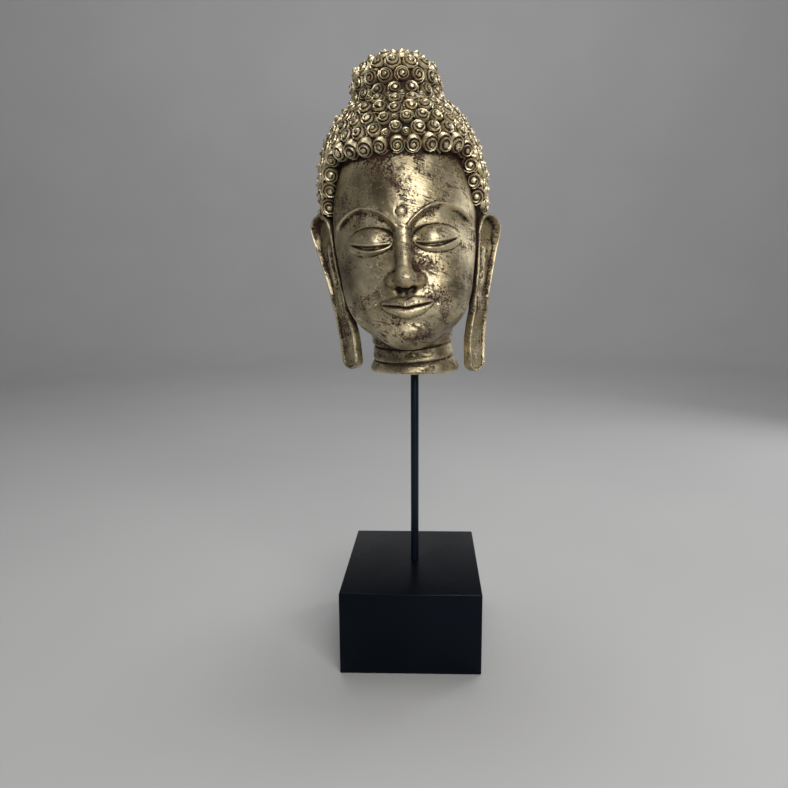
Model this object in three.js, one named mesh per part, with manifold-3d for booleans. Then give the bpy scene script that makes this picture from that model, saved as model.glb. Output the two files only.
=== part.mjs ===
// A cast meditating head with snail-shell curls, a top knot and long ear lobes, held by a thin steel rod
// that stands in a black wooden block. Millimetres, +Z up, the face looks along -Y.
// The origin is the middle of the block's underside.
import * as THREE from "three";
import { ConvexHull } from "three/addons/math/ConvexHull.js";
import { mergeVertices } from "three/addons/utils/BufferGeometryUtils.js";
import Module from "manifold-3d";

const wasm = await Module();
wasm.setup();

// Stand
const BLOCK_WIDTH = 100;
const BLOCK_DEPTH = 120;
const BLOCK_HEIGHT = 60;
const BLOCK_EDGE = 0.8; // softened edges
const ROD_RADIUS = 3;
const ROD_SIDES = 20;
const ROD_X = 1.5; // the rod stands this far off the block's middle
const ROD_SHOWN = 150; // bare rod between the block and the neck
const ROD_IN_BLOCK = 35;
const ROD_IN_HEAD = 45;
const FIT_GAP = 0.3; // the rod's play in its two sockets

// Head, in its own frame: the origin is on the rod's axis, a little below the neck's foot
const HEAD_LEAN = THREE.MathUtils.degToRad(3.7); // the crown leans towards -X
const HAIRLINE = 144; // height of the hairline over the forehead
const FACE_THIRD = 40; // hairline to brow, brow to nose base, nose base to chin
const BROW = HAIRLINE - FACE_THIRD;
const NOSE_BASE = BROW - FACE_THIRD;
const CHIN = NOSE_BASE - FACE_THIRD;
const EYE_APART = 22; // middle of the face to the middle of each eye
const EYE_HALF = 14.5;
const EYE_LEVEL = BROW - 10.5;
const BROW_APART = 27; // middle of the face to the top of each brow's arch
const BROW_HALF = 23;
const BROW_ARCH = 13;
const MARK_RADIUS = 3; // the dot on the forehead
const MARK_LEVEL = BROW + 8;
const MOUTH_HALF = 19;
const MOUTH_LEVEL = NOSE_BASE - FACE_THIRD / 3 + 1;
const NECK_RADIUS = 29;
const NECK_FOOT = 4; // height of the foot, which is cut level although the head leans
const NECK_FLARE = 4.4; // the foot spreads by this much
const NECK_FOLDS = [11.5, 21.5]; // heights of the two creases round the neck, at the front
const FOLD_RISE = 0.1; // the creases climb by this share of the way back

// Hair
const CURL_PITCH = 11.6; // from one row of curls to the next
const CURL_LEAST = 10.2; // least distance between two curls
const CURL_HEIGHT = 4.8;
const CURL_TOP = 2.7; // radius of a curl's blunt top
const CURL_GROOVE = 1; // depth of the gaps between curls, below the hair cap
const HAIR_MIDDLE = [0, 8, 125]; // the hair is laid out round this point
const HAIR_FRONT = HAIRLINE + 6; // the hair's edge over the forehead
const HAIR_NAPE = 58; // the hair's edge at the back
const RIM_POINTS = 40; // points along the hair's edge
const RIM_SINK = 0.5; // the edge ends this far below the skin
const KNOT_RADIUS = 29;
const KNOT_SHOULDER = 205; // the top knot's upright sides end and its dome begins
const KNOT_TOP = 224;
const KNOT_DOME_ROWS = [20, 41, 65, 90]; // degrees down from the top
const KNOT_SIDE_ROW = 195.5; // height
const KNOT_WAIST_ROW = [185.5, 32.5]; // height and radius

// Ears
const EAR_TOP = 117;
const EAR_LOW = 4;
const EAR_STEP = 3.7; // the ear at +X sits this much lower and the other higher, so they end up level
const EAR_TURN = THREE.MathUtils.degToRad(47); // the ear's face turns this far out from the side of the head
const EAR_OUTLINE = [[8, 51], [23, 52], [42, 54], [60, 57], [78, 61.2], [108, 68.8]]; // [height, x]
const EAR_HALF_WIDTH = [[8, 9], [30, 9.6], [50, 8.2], [78, 9.5], [104, 12.8]]; // height, half width
const EAR_HALF_THICK = [[8, 4.6], [40, 4.4], [78, 4], [110, 4]]; // height, half thickness
const EAR_RIM = 3; // width of the raised rim
const EAR_HOLLOW = 4.4; // depth of the channel inside the rim

// Fineness of the faceted surfaces
const SKIN_COLUMNS = 46;
const SKIN_ROWS = 51;
const EAR_ROWS = 12;
const EAR_COLUMNS = 12;

// Shaping helpers

const bell = (x, width) => Math.exp(-((x / width) ** 2));

function step(x, from, to) {
  const t = Math.min(1, Math.max(0, (x - from) / (to - from)));
  return t * t * (3 - 2 * t);
}

// Straight lines through a short list of [x, y] knots.
function along(x, knots) {
  const next = knots.findIndex((k) => k[0] > x);
  if (next === 0) return knots[0][1];
  if (next < 0) return knots[knots.length - 1][1];
  const [a, b] = [knots[next - 1], knots[next]];
  return a[1] + ((b[1] - a[1]) * (x - a[0])) / (b[0] - a[0]);
}

// Joins two distances with a fillet of about k.
function join(a, b, k) {
  const h = Math.max(k - Math.abs(a - b), 0) / k;
  return Math.min(a, b) - (h * h * k) / 4;
}

const cut = (a, b, k) => -join(-a, b, k);

function ellipsoid([x, y, z], [cx, cy, cz], [rx, ry, rz]) {
  const [u, v, w] = [(x - cx) / rx, (y - cy) / ry, (z - cz) / rz];
  const reach = Math.hypot(u, v, w);
  return (reach * (reach - 1)) / Math.max(Math.hypot(u / rx, v / ry, w / rz), 1e-9);
}

function roundCone(p, a, b, radiusA, radiusB) {
  const ab = b.map((value, i) => value - a[i]);
  const dot = ab.reduce((sum, value, i) => sum + value * (p[i] - a[i]), 0);
  const t = Math.min(1, Math.max(0, dot / ab.reduce((sum, value) => sum + value * value, 0)));
  const off = p.map((value, i) => value - a[i] - t * ab[i]);
  return Math.hypot(...off) - (radiusA + (radiusB - radiusA) * t);
}

// Head: distances to its masses, then the carved relief of the face

function neck([x, y, z]) {
  let radius = NECK_RADIUS + NECK_FLARE * step(z, NECK_FOOT + 14, NECK_FOOT - 1) + 3 * step(z, 22, 50);
  const rise = FOLD_RISE * (y + NECK_RADIUS);
  for (const fold of NECK_FOLDS) radius -= bell(z - fold - rise, 1.1);
  return Math.max(Math.hypot(x, y - 0.06 * z) - radius, z - 70);
}

function nose(d, q) {
  d = join(d, roundCone(q, [0, -51, BROW + 1], [0, -63, NOSE_BASE + 7], 4, 5), 7);
  d = join(d, ellipsoid(q, [0, -63.5, NOSE_BASE + 5.4], [7, 7.4, 6]), 4);
  d = join(d, ellipsoid(q, [8, -56.5, NOSE_BASE + 4.4], [4.8, 7.6, 4.8]), 3);
  return cut(d, ellipsoid(q, [4.5, -60, NOSE_BASE - 1.4], [2.4, 4.2, 2.4]), 2);
}

function masses(p) {
  const q = [Math.abs(p[0]), p[1], p[2]];
  let d = ellipsoid(q, [0, 10, 118], [52, 62, 76]); // skull
  d = join(d, ellipsoid(q, [0, -8, 88], [48, 47, 68]), 12); // face
  d = join(d, ellipsoid(q, [21, -27, 62], [20, 21, 26]), 14); // cheeks
  d = join(d, ellipsoid(q, [0, -41, 51], [23, 17.5, 18]), 14); // round of the mouth
  d = join(d, ellipsoid(q, [0, -38, 34.5], [18, 18.5, 12]), 12); // chin
  d = join(d, neck(p), 5);
  return nose(d, q);
}

// Height of the brow's ridge, of the upper lid's edge and of the line between the lips, x from the middle.
const browLine = (x) => BROW - 0.5 + BROW_ARCH * (1 - Math.min(1.4, ((x - BROW_APART) / BROW_HALF) ** 2));

function lidLine(x) {
  const u = Math.min(1.2, Math.max(-1.2, (x - EYE_APART) / EYE_HALF));
  return EYE_LEVEL - 2 * Math.max(0, 1 - u * u) + 1.2 * u;
}

const lipLine = (x) => MOUTH_LEVEL + 2.6 * Math.min(1.3, (x / MOUTH_HALF) ** 2) - 0.8 * bell(x, 3.5);

function browRelief(x, z) {
  const u = (x - BROW_APART) / BROW_HALF;
  const below = browLine(x) - z;
  const hollow = step(below, -0.5, 5) * (1 - step(below, 6, 24));
  const slope = (2 * BROW_ARCH * Math.abs(u)) / BROW_HALF;
  const rim = bell(below / Math.hypot(1, slope), 1.2) * step(x, 2.5, 6) * (1 - step(x, 44, 50));
  const besideNose = bell(x - 11, 5) * bell(z - EYE_LEVEL - 1, 8);
  return 1.25 * rim - 3.4 * hollow * step(x, 3, 9) * (1 - step(x, 36, 49)) - 3 * besideNose;
}

function eyeRelief(x, z) {
  const lid = 1 - ((x - EYE_APART - 0.5) / 16) ** 2 - ((z - EYE_LEVEL - 1) / 9) ** 2;
  const u = Math.min(1.2, Math.max(-1.2, (x - EYE_APART) / EYE_HALF));
  const open = Math.max(0, 1 - u * u);
  const upper = lidLine(x);
  const lower = upper - 2.4 * open;
  const slit = step(z, lower - 0.5, lower + 0.4) * (1 - step(z, upper - 0.4, upper + 0.5));
  return 4.2 * Math.sqrt(Math.max(0, lid)) - 1.5 * slit * step(open, 0, 0.3);
}

function mouthRelief(x, z) {
  const m = x / MOUTH_HALF;
  const fade = step(1 - m, 0, 0.22);
  const line = lipLine(x);
  const bow = 1 + 0.1 * bell(x - 4.6, 3) - 0.16 * bell(x, 2.2);
  const top = line + 6 * Math.max(0, 1 - m * m) ** 0.75 * bow;
  const low = line - 7.4 * Math.max(0, 1 - (1.06 * m) ** 2) ** 0.75;
  const up = Math.min(1.4, Math.max(0, (z - line) / Math.max(top - line, 0.5)));
  const down = Math.min(1.4, Math.max(0, (line - z) / Math.max(line - low, 0.5)));
  const above = step(z, line - 0.6, line + 0.6);
  const upperLip = (1 + 1.9 * (1 - up * up)) * above * (1 - step(z, top - 0.7, top + 0.7));
  const lowerLip = (1 + 2.3 * (1 - (1.5 * down - 0.6) ** 2)) * (1 - above) * step(z, low - 0.8, low + 0.8);
  const corner = bell(x - MOUTH_HALF, 2.6) * bell(z - MOUTH_LEVEL - 2.6, 2.2);
  const underLip = bell(x, 12) * bell(z - MOUTH_LEVEL + 11, 3);
  return fade * (upperLip + lowerLip - 1.5 * bell(z - line, 0.9)) - 1.6 * corner - 1.6 * underLip;
}

function skin(p) {
  const x = Math.abs(p[0]);
  const relief = browRelief(x, p[2]) + eyeRelief(x, p[2]) + mouthRelief(x, p[2]);
  return masses(p) - relief * step(p[1], -18, -30);
}

// Hair: a cap that stands a little proud of the skin, with the top knot on it

function knot([x, y, z]) {
  const up = z - KNOT_SHOULDER;
  const side = Math.max(Math.hypot(x, y - HAIR_MIDDLE[1]) - KNOT_RADIUS, up, -40 - up);
  const radii = [KNOT_RADIUS, KNOT_RADIUS, KNOT_TOP - KNOT_SHOULDER];
  const dome = ellipsoid([x, y - HAIR_MIDDLE[1], up], [0, 0, 0], radii);
  return Math.min(side, dome);
}

function cap(p) {
  const hair = join(ellipsoid(p, [0, 12.5, 136], [57.8, 64.5, 67]), masses(p) - 1.5, 6);
  return join(hair, knot(p), 5);
}

// Height of the hair's edge by the angle from the front.
function hairEdge(turn) {
  const drop = step(Math.abs(turn), THREE.MathUtils.degToRad(50), THREE.MathUtils.degToRad(112));
  return HAIR_FRONT + (HAIR_NAPE - HAIR_FRONT) * drop;
}

// Walks from a point outside towards another until the surface is met.
function meet(surface, from, to, rounds = 60) {
  const p = new THREE.Vector3(...from);
  const way = new THREE.Vector3(...to).sub(p).normalize();
  for (let i = 0; i < rounds; i++) p.addScaledVector(way, 0.7 * surface(p.toArray()));
  return p.toArray();
}

const around = (turn, radius, z, y = 0) => [radius * Math.sin(turn), y - radius * Math.cos(turn), z];

function capAt(turn, lift) {
  const [mx, my, mz] = HAIR_MIDDLE;
  const out = around(turn, 118 * Math.cos(lift), mz + 118 * Math.sin(lift), my);
  return meet(cap, out, [mx, my, mz]);
}

// Elevation of the hair's edge, seen from the middle of the hair.
function edgeLift(turn) {
  const [, my, mz] = HAIR_MIDDLE;
  const z = hairEdge(turn);
  const [x, y] = meet(cap, around(turn, 95, z, my), [0, my, z]);
  return Math.atan2(z - mz, Math.hypot(x, y - my));
}

// Solids

function solid(geometry) {
  const bare = new THREE.BufferGeometry();
  bare.setAttribute("position", geometry.getAttribute("position"));
  bare.setIndex(geometry.index);
  const merged = mergeVertices(bare, 1e-4);
  const mesh = { numProp: 3, vertProperties: merged.attributes.position.array };
  return new wasm.Manifold(new wasm.Mesh({ ...mesh, triVerts: new Uint32Array(merged.index.array) }));
}

function geometryOf(manifold) {
  const { numProp, numVert, vertProperties, triVerts } = manifold.getMesh();
  const position = new Float32Array(numVert * 3);
  for (let i = 0; i < numVert; i++) position.set(vertProperties.subarray(i * numProp, i * numProp + 3), i * 3);
  const made = new THREE.BufferGeometry();
  made.setAttribute("position", new THREE.BufferAttribute(position, 3));
  made.setIndex(new THREE.BufferAttribute(triVerts, 1));
  return made;
}

// A closed surface from rings of points, with a point closing each end.
function ringSurface(rings, firstPoint, lastPoint) {
  const count = rings[0].length;
  const points = [...rings.flat(), firstPoint, lastPoint];
  const first = points.length - 2;
  const last = points.length - 1;
  const triangles = [];
  for (let c = 0; c < count; c++) {
    const d = (c + 1) % count;
    triangles.push(first, d, c);
    for (let r = 0; r + 1 < rings.length; r++) {
      const [a, b] = [r * count, (r + 1) * count];
      triangles.push(a + c, a + d, b + d, a + c, b + d, b + c);
    }
    const top = (rings.length - 1) * count;
    triangles.push(top + c, top + d, last);
  }
  const made = new THREE.BufferGeometry();
  made.setAttribute("position", new THREE.Float32BufferAttribute(points.flat(), 3));
  made.setIndex(triangles);
  return made;
}

// Where each row of the skin is seen from and what it looks at, as radius and height.
// The rows climb the neck, swing under the jaw, and climb the face to the crown.
function skinRay(turn, t) {
  const side = Math.abs(turn);
  const foot = footLevel((NECK_RADIUS + NECK_FLARE) * Math.sin(turn));
  const jaw = CHIN - 1 + 26 * step(side, THREE.MathUtils.degToRad(18), THREE.MathUtils.degToRad(95));
  const depth = side < Math.PI / 2 ? 54 : 60;
  const reach = 1 / Math.hypot(Math.sin(side) / 42, Math.cos(side) / depth);
  const x = Math.abs(1.08 * reach * Math.sin(turn)) * step(Math.cos(side), -0.3, 0.3);
  const lips = lipLine(x);
  const lids = lidLine(x);
  const brows = Math.max(lids + 14, browLine(x) + 3);
  const keys = [
    { t: 0, from: [70, foot], to: [0, foot] },
    { t: 0.13, from: [70, jaw - 5], to: [0, jaw - 5] },
    { t: 0.19, from: [reach - 4, jaw - 26], to: [reach - 16, jaw + 20] },
    { t: 0.24, from: [reach + 22, jaw - 10], to: [reach - 25, jaw + 22] },
    { t: 0.29, from: [100, Math.max(lips - 13, jaw + 10)], to: [0, Math.max(lips - 6, jaw + 18)] },
    { t: 0.49, from: [100, Math.max(lips + 8, jaw + 22)], to: [0, Math.max(lips + 8, jaw + 24)] },
    { t: 0.62, from: [100, lids - 8], to: [0, lids - 8] },
    { t: 0.78, from: [100, lids + 9], to: [0, lids + 9] },
    { t: 0.93, from: [100, brows], to: [0, brows] },
    { t: 0.98, from: [95, HAIR_FRONT + 5], to: [0, HAIR_FRONT - 5] },
    { t: 1, from: [6, 215], to: [0, 150] },
  ];
  const part = (pick) => along(t, keys.map((k) => [k.t, pick(k)]));
  const ends = [part((k) => k.from[0]), part((k) => k.from[1]), part((k) => k.to[0]), part((k) => k.to[1])];
  return { from: around(turn, ends[0], ends[1]), to: around(turn, ends[2], ends[3]) };
}

// Height of the neck's foot at x from the rod.
const footLevel = (x) => NECK_FOOT - x * Math.tan(HEAD_LEAN);

// Columns are closest together at the front, where the face is.
function columnTurn(column, columns) {
  const u = (2 * column) / columns - 1;
  return Math.PI * (0.34 * u + 0.66 * u ** 3);
}

function skinSolid() {
  const rings = [];
  for (let r = 0; r < SKIN_ROWS; r++) {
    const ring = [];
    for (let c = 0; c < SKIN_COLUMNS; c++) {
      const { from, to } = skinRay(columnTurn(c, SKIN_COLUMNS), r / (SKIN_ROWS - 1));
      ring.push(meet(skin, from, to));
    }
    rings.push(ring);
  }
  rings[0] = rings[0].map(([x, y]) => [x, y, footLevel(x)]);
  return solid(ringSurface(rings, [0, 0, NECK_FOOT], [0, 10, rings.at(-1)[0][2]]));
}

function markSolid() {
  const place = meet(skin, [0, -100, MARK_LEVEL], [0, 0, MARK_LEVEL]);
  return solid(new THREE.SphereGeometry(MARK_RADIUS, 10, 6).scale(1, 0.5, 1).translate(...place));
}

// One ear: flat sections down its length, each a thin loop whose outer face has a raised rim.
function earSolid(side) {
  const [wide, out] = [Math.cos(EAR_TURN), Math.sin(EAR_TURN)];
  const roundEnd = (distance, radius) => Math.sqrt(Math.max(0, 1 - Math.max(0, 1 - distance / radius) ** 2));
  const rings = [];
  for (let r = 1; r < EAR_ROWS; r++) {
    const z = EAR_TOP + ((EAR_LOW - EAR_TOP) * (1 - Math.cos((Math.PI * r) / EAR_ROWS))) / 2;
    const outside = along(z, EAR_OUTLINE);
    const full = along(z, EAR_HALF_WIDTH);
    const tip = roundEnd(EAR_TOP - z, 12) * roundEnd(z - EAR_LOW, 7);
    const ring = [];
    for (let c = 0; c < EAR_COLUMNS; c++) {
      const theta = (2 * Math.PI * c) / EAR_COLUMNS;
      const w = full * tip * Math.cos(theta);
      const up = Math.sin(theta);
      const inFromRim = full * tip - Math.abs(w);
      const bowl = up > 0 ? EAR_HOLLOW * step(inFromRim, EAR_RIM - 0.4, EAR_RIM + 2.4) * tip : 0;
      const n = along(z, EAR_HALF_THICK) * tip * Math.sign(up) * Math.abs(up) ** 0.45 - bowl;
      const x = outside - full * wide + wide * w + out * n;
      ring.push([side * x, -2 + 0.03 * (z - 60) + out * w - wide * n, z - side * EAR_STEP]);
    }
    rings.push(side < 0 ? ring.reverse() : ring);
  }
  const mean = (ring) => [0, 1, 2].map((i) => ring.reduce((sum, p) => sum + p[i], 0) / ring.length);
  return solid(ringSurface(rings, mean(rings[0]), mean(rings.at(-1))));
}

// Curls: each place has its point on the hair cap and its direction on a sphere, where neighbours are found

const apart = (a, b) => Math.hypot(a[0] - b[0], a[1] - b[1], a[2] - b[2]);

const onSphere = (turn, lift) => new THREE.Vector3(...around(turn, Math.cos(lift), Math.sin(lift)));

// Rings round the top knot, evenly spaced from its top to its waist.
function knotCurls() {
  const rings = KNOT_DOME_ROWS.map((degrees) => {
    const a = THREE.MathUtils.degToRad(degrees);
    return [KNOT_SHOULDER + (KNOT_TOP - KNOT_SHOULDER) * Math.cos(a), KNOT_RADIUS * Math.sin(a)];
  });
  rings.push([KNOT_SIDE_ROW, KNOT_RADIUS], KNOT_WAIST_ROW);
  const places = [{ point: [0, HAIR_MIDDLE[1], KNOT_TOP], direction: onSphere(0, Math.PI / 2) }];
  rings.forEach(([z, radius], k) => {
    const count = Math.round((2 * Math.PI * radius) / CURL_PITCH);
    const lift = THREE.MathUtils.degToRad(90 - 4.5 * (k + 1));
    for (let i = 0; i < count; i++) {
      const turn = (2 * Math.PI * (i + 0.5 * (k % 2))) / count;
      places.push({ point: around(turn, radius, z, HAIR_MIDDLE[1]), direction: onSphere(turn, lift) });
    }
  });
  return places;
}

// No curls grow where the ear lies against the hair.
const underEar = ([, y, z]) => z < EAR_TOP + EAR_STEP + 1 && y > -14 && y < 12;

// Rows climb from the hairline, each curl in the first gap that is wide enough, the same on both sides.
function curlPlaces() {
  const places = knotCurls();
  const turns = Array.from({ length: 121 }, (_, i) => (Math.PI * i) / 120);
  const lows = turns.map(edgeLift);
  const crowded = (p) => places.some((other) => apart(other.point, p) < CURL_LEAST);
  for (let climb = 0.42 * CURL_PITCH; climb < 175; climb += CURL_PITCH / 8) {
    turns.forEach((turn, i) => {
      const lift = lows[i] + climb / 68;
      if (lift > THREE.MathUtils.degToRad(61)) return;
      const point = capAt(turn, lift);
      const twin = [-point[0], point[1], point[2]];
      const middle = i === 0 || i === turns.length - 1;
      if (crowded(point) || underEar(point) || (!middle && apart(point, twin) < CURL_LEAST)) return;
      places.push({ point, direction: onSphere(turn, lift) });
      if (!middle) places.push({ point: twin, direction: onSphere(-turn, lift) });
    });
  }
  return places;
}

// The hair's edge, just below the skin.
function rimPlaces() {
  return Array.from({ length: RIM_POINTS }, (_, i) => {
    const turn = (2 * Math.PI * (i + 0.5)) / RIM_POINTS;
    const signed = turn > Math.PI ? turn - 2 * Math.PI : turn;
    const z = hairEdge(signed);
    const p = meet(masses, around(signed, 95, z, HAIR_MIDDLE[1]), [0, HAIR_MIDDLE[1], z]);
    const inward = outward(masses, p).multiplyScalar(-RIM_SINK);
    const lift = edgeLift(signed);
    return { point: inward.add(new THREE.Vector3(...p)).toArray(), direction: onSphere(signed, lift) };
  });
}

function outward(surface, p) {
  const e = 0.05;
  const slope = [0, 1, 2].map((i) => {
    const ahead = p.map((value, k) => value + (k === i ? e : 0));
    const behind = p.map((value, k) => value - (k === i ? e : 0));
    return surface(ahead) - surface(behind);
  });
  return new THREE.Vector3(...slope).normalize();
}

// The groove points round each place, in order, from the hull's faces.
function grooveRings(faces, grooveOf, indexOf) {
  const start = new Map();
  for (const face of faces) {
    for (const k of [0, 1, 2]) start.set(indexOf.get(face.getEdge(k).tail().point), face.getEdge(k));
  }
  return new Map(
    [...start].map(([place, first]) => {
      const ring = [];
      let edge = first;
      do {
        ring.push(grooveOf.get(edge.face));
        edge = edge.prev.twin;
      } while (edge !== first);
      return [place, ring];
    }),
  );
}

// Three corners of a curl's blunt top, each level with a third of its groove ring.
function curlTop(foot, way, ring, points) {
  return [0, 1, 2].map((k) => {
    const from = Math.ceil((k * ring.length) / 3);
    const to = Math.ceil(((k + 1) * ring.length) / 3);
    const aside = points[ring[from]].clone().add(points[ring[to % ring.length]]).multiplyScalar(0.5).sub(foot);
    const corner = foot.clone().addScaledVector(aside.projectOnPlane(way).normalize(), CURL_TOP);
    return { corner: corner.addScaledVector(way, CURL_HEIGHT), from, to };
  });
}

// One closed surface: a blunt stud for every curl and a groove point between every three neighbours.
function hairSolid() {
  const curls = curlPlaces();
  const places = [...curls, ...rimPlaces()];
  const indexOf = new Map(places.map((place, i) => [place.direction, i]));
  const feet = places.map((place) => new THREE.Vector3(...place.point));
  const ways = curls.map((place) => outward(cap, place.point));
  const faces = new ConvexHull().setFromPoints(places.map((place) => place.direction)).faces;
  const points = [];
  const grooveOf = new Map();
  for (const face of faces) {
    const corners = [0, 1, 2].map((k) => indexOf.get(face.getEdge(k).head().point));
    const shares = corners.map((corner) => (corner < curls.length ? 1 : 4));
    const all = shares.reduce((sum, share) => sum + share);
    const groove = new THREE.Vector3();
    corners.forEach((corner, k) => {
      groove.addScaledVector(feet[corner], shares[k] / all);
      if (corner < curls.length) groove.addScaledVector(ways[corner], (-CURL_GROOVE * shares[k]) / all);
    });
    grooveOf.set(face, points.length);
    points.push(groove);
  }
  const triangles = [];
  for (const [place, ring] of grooveRings(faces, grooveOf, indexOf)) {
    const count = ring.length;
    const base = points.length;
    if (place >= curls.length) {
      points.push(feet[place]);
      ring.forEach((groove, i) => triangles.push(base, groove, ring[(i + 1) % count]));
      continue;
    }
    curlTop(feet[place], ways[place], ring, points).forEach(({ corner, from, to }, k) => {
      points.push(corner);
      for (let i = from; i < to; i++) triangles.push(base + k, ring[i], ring[(i + 1) % count]);
      triangles.push(base + k, ring[to % count], base + ((k + 1) % 3));
    });
    triangles.push(base, base + 1, base + 2);
  }
  const made = new THREE.BufferGeometry().setFromPoints(points);
  made.setIndex(triangles);
  return solid(made);
}

// A socket for the rod, as deep as stated from height z, plus the fit gap.
function socket(depth, z) {
  const length = depth + FIT_GAP;
  const bore = new THREE.CylinderGeometry(ROD_RADIUS + FIT_GAP, ROD_RADIUS + FIT_GAP, 2 * length, ROD_SIDES);
  bore.rotateX(Math.PI / 2);
  bore.translate(0, 0, z);
  return bore;
}

// The three pieces

const gold = new THREE.MeshStandardMaterial({ color: 0xb59a5c, roughness: 0.38, metalness: 0.85 });
const blackLacquer = new THREE.MeshStandardMaterial({ color: 0x0b0c0f, roughness: 0.45, metalness: 0 });
const blackSteel = new THREE.MeshStandardMaterial({ color: 0x0d1014, roughness: 0.35, metalness: 0.6 });

function named(name, geometry, material) {
  const mesh = new THREE.Mesh(geometry, material);
  mesh.name = name;
  return mesh;
}

function headMesh() {
  const pieces = [skinSolid(), markSolid(), hairSolid(), earSolid(-1), earSolid(1)];
  const whole = wasm.Manifold.union(pieces);
  const upright = socket(NECK_FOOT + ROD_IN_HEAD, 0).rotateY(HEAD_LEAN); // the rod doesn't lean with the head
  return named("head", geometryOf(whole.subtract(solid(upright))), gold);
}

function blockMesh() {
  const [w, d, e] = [BLOCK_WIDTH / 2 - BLOCK_EDGE, BLOCK_DEPTH / 2 - BLOCK_EDGE, BLOCK_EDGE];
  const outline = new THREE.Shape([
    new THREE.Vector2(-w, -d),
    new THREE.Vector2(w, -d),
    new THREE.Vector2(w, d),
    new THREE.Vector2(-w, d),
  ]);
  const options = { depth: BLOCK_HEIGHT - 2 * e, bevelThickness: e, bevelSize: e, bevelSegments: 2 };
  const body = new THREE.ExtrudeGeometry(outline, options).translate(0, 0, e);
  const bore = socket(ROD_IN_BLOCK, BLOCK_HEIGHT).translate(ROD_X, 0, 0);
  return named("block", geometryOf(solid(body).subtract(solid(bore))), blackLacquer);
}

function rodMesh() {
  const length = ROD_IN_BLOCK + ROD_SHOWN + ROD_IN_HEAD;
  const bar = new THREE.CylinderGeometry(ROD_RADIUS, ROD_RADIUS, length, ROD_SIDES).rotateX(Math.PI / 2);
  bar.translate(ROD_X, 0, BLOCK_HEIGHT - ROD_IN_BLOCK + length / 2);
  return named("rod", bar, blackSteel);
}

const figure = new THREE.Group();
const head = headMesh();
head.position.set(ROD_X, 0, BLOCK_HEIGHT + ROD_SHOWN - NECK_FOOT);
head.rotation.y = -HEAD_LEAN;
figure.add(blockMesh(), rodMesh(), head);

export default figure;
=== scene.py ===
import math

import bmesh
import bpy
import numpy as np
from mathutils import Matrix, Vector
from mathutils.bvhtree import BVHTree


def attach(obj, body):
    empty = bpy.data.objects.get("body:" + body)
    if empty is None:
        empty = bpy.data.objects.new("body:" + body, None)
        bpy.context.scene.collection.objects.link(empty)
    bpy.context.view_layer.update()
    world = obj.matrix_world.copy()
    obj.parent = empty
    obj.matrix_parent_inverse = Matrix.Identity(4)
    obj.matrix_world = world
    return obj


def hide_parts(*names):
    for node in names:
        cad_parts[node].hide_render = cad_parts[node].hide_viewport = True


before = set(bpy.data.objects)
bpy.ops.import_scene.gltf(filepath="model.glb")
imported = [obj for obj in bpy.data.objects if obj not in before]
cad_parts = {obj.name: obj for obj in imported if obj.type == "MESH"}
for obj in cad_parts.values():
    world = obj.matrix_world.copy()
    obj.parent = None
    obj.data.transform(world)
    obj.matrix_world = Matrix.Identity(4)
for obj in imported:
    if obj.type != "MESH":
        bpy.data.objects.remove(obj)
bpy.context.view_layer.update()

MM = 0.001
RANDOM = np.random.default_rng(7)

# Stand, in millimetres from the middle of the block's underside
BLOCK_WIDTH, BLOCK_DEPTH, BLOCK_HEIGHT = 100, 120, 60
BLOCK_EDGE = 0.8
ROD_RADIUS, ROD_X = 3, 1.5
ROD_LOW, ROD_HIGH = 25, 255
ROD_EDGE, ROD_SIDES = 0.4, 40
FIT_GAP = 0.3
HEAD_LEVEL = 206
HEAD_LEAN = math.radians(3.7)

# Head, in millimetres from a point on the rod's axis just below the neck's foot, facing -Y
HAIRLINE, FACE_THIRD = 144, 40
BROW = HAIRLINE - FACE_THIRD
NOSE_BASE = BROW - FACE_THIRD
CHIN = NOSE_BASE - FACE_THIRD
EYE_APART, EYE_HALF, EYE_LEVEL = 22, 14.5, BROW - 10.5
BROW_APART, BROW_HALF, BROW_ARCH = 27, 23, 13
MARK_RADIUS, MARK_LEVEL = 3, BROW + 8
MOUTH_HALF, MOUTH_LEVEL = 19, NOSE_BASE - FACE_THIRD / 3 + 1
NECK_RADIUS, NECK_FOOT, NECK_FLARE = 29, 4, 4.4
NECK_FOLDS = (11.5, 21.5)
FOLD_RISE = 0.1

# Rounded masses of the head: the middle and half-widths of each
SKULL = (0, 10, 118), (52, 62, 76)
FACE = (0, -8, 88), (48, 47, 68)
CHEEK = (21, -27, 62), (20, 21, 26)
MUZZLE = (0, -41, 51), (23, 17.5, 18)
CHIN_BALL = (0, -38, 34.5), (18, 18.5, 12)
NOSE_TIP = (0, -63.5, NOSE_BASE + 5.4), (7, 7.4, 6)
NOSE_WING = (8, -56.5, NOSE_BASE + 4.4), (4.8, 7.6, 4.8)
NOSTRIL = (4.5, -60, NOSE_BASE - 1.4), (2.4, 4.2, 2.4)
HAIR_MASS = (0, 12.5, 136), (57.8, 64.5, 67)

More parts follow.
